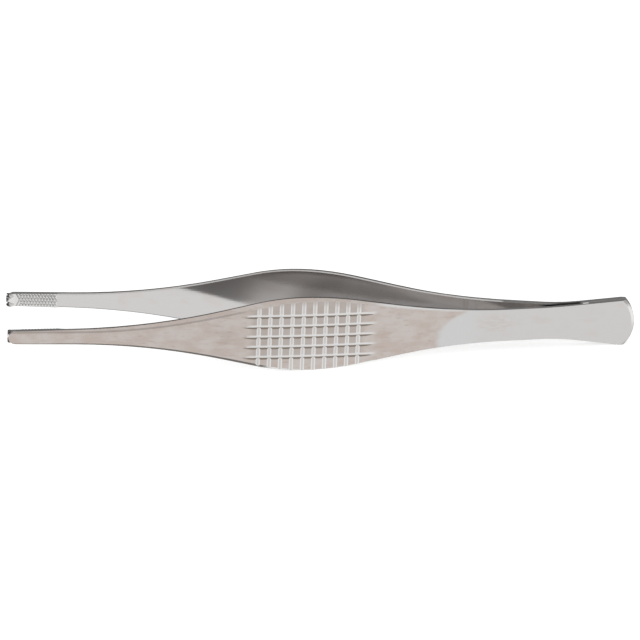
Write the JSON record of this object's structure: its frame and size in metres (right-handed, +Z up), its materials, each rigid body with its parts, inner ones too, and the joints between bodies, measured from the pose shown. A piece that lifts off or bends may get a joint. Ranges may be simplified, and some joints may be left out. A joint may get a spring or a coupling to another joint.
{
  "type": "tissue forceps",
  "caption": "Broad-grip thumb forceps of steel: sprung arms joined at the heel, grooved grips and slender cross-serrated jaws with interlocking teeth.",
  "frame": {"origin": "on the surface it lies on, under the middle of its bounding box", "axes": "+X from the tips towards the heel, +Y across the arms from the two-toothed arm to the one-toothed arm, +Z up along the arms' width"},
  "size_m": [0.1778, 0.0272, 0.0224],
  "materials": {
    "forged_steel": "satin outer faces, polished inner faces"
  },
  "bodies": {
    "root": {"double_tooth_arm": "forged_steel", "single_tooth_arm": "forged_steel"}
  },
  "joints": []
}
